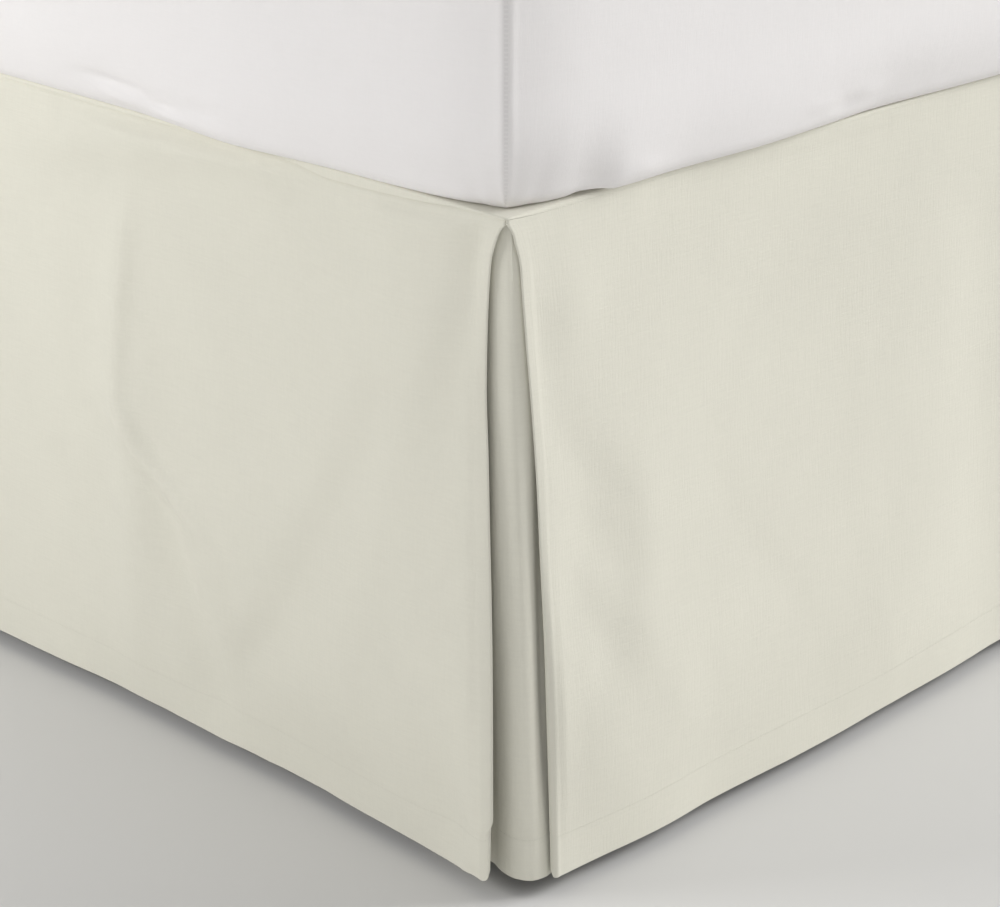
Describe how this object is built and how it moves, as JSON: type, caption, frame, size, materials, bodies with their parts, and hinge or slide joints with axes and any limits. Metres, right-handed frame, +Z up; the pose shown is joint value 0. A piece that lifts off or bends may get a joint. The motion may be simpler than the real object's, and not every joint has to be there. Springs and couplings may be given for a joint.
{
  "type": "bed skirt on a bed",
  "caption": "Tailored bed skirt with a flat deck, hung side and foot panels and split foot corners with underlays, on a plain mattress and bed base.",
  "frame": {"origin": "on the floor, under the middle of the bed", "axes": "+Y along the bed from the foot to the open head end, +X to the right seen from the foot, +Z up"},
  "size_m": [1.5584, 2.0533, 0.6636],
  "materials": {
    "skirt_cloth": "matt, fine plain weave in pale sage beige",
    "mattress_cover": "matt, smooth white",
    "base_cloth": "matt, coarse upholstery",
    "leg_wood": "satin, dark stained"
  },
  "bodies": {
    "root": {"deck": "skirt_cloth", "side_panel_left": "skirt_cloth", "side_panel_right": "skirt_cloth", "foot_panel": "skirt_cloth", "corner_underlay_left": "skirt_cloth", "corner_underlay_right": "skirt_cloth", "mattress": "mattress_cover", "bed_base": "base_cloth", "leg_foot_left": "leg_wood", "leg_foot_right": "leg_wood", "leg_middle_left": "leg_wood", "leg_middle_right": "leg_wood", "leg_head_left": "leg_wood", "leg_head_right": "leg_wood"}
  },
  "joints": []
}
